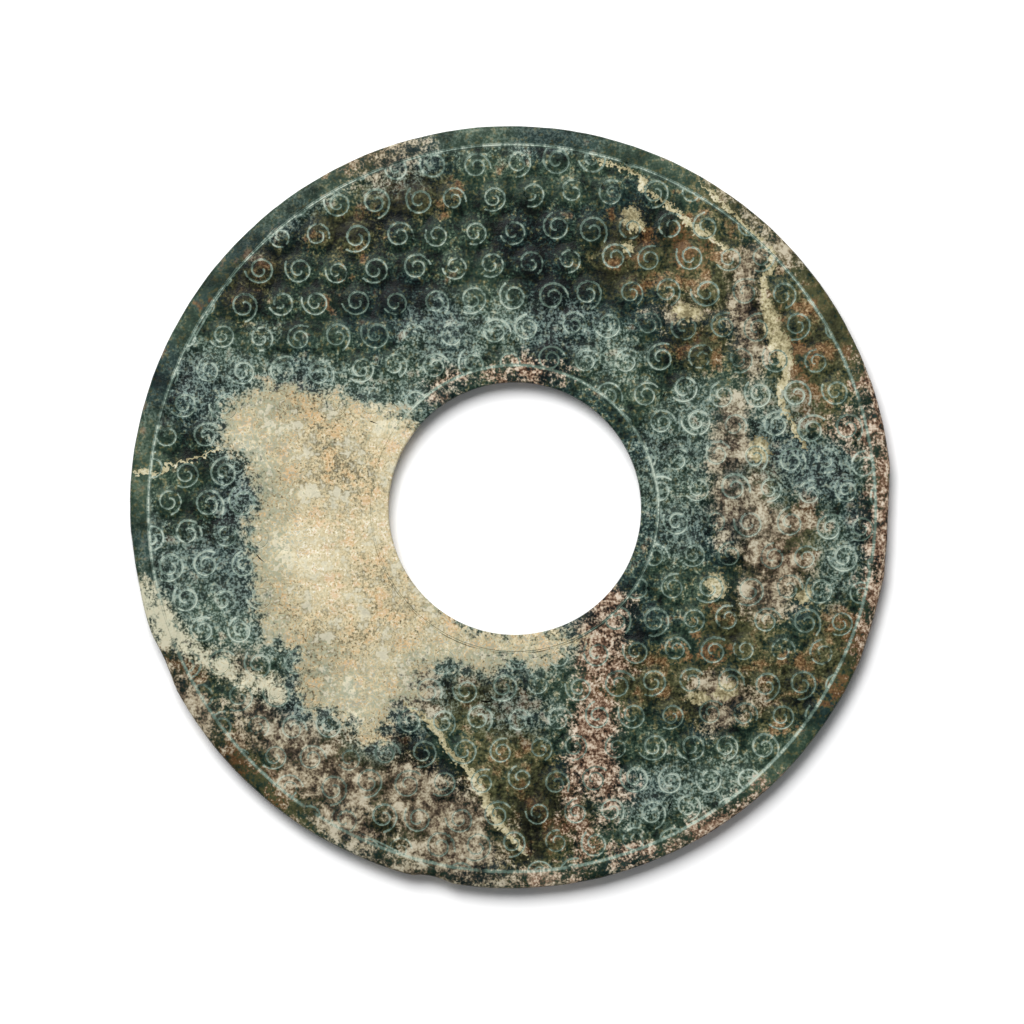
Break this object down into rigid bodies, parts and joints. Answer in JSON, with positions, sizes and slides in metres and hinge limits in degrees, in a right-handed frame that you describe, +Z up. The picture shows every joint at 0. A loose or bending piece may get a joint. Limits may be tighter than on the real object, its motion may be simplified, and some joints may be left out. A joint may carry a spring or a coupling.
{
  "type": "jade bi disc",
  "caption": "Flat carved jade bi disc with a central hole, plain rims and a field of spiral grains, weathered green and cream.",
  "frame": {"origin": "on the surface that the disc lies on, below the middle of its bounding box", "axes": "+Z up, through the disc's thickness; +X along the rows of grains; +Y towards the top of the disc as it is usually shown"},
  "size_m": [0.1594, 0.16, 0.005],
  "materials": {
    "jade": "old polished dark green nephrite with cream, tan and rust-brown alteration, pale mineral in the incised lines, satin gloss"
  },
  "bodies": {
    "root": {"disc": "jade"}
  },
  "joints": []
}
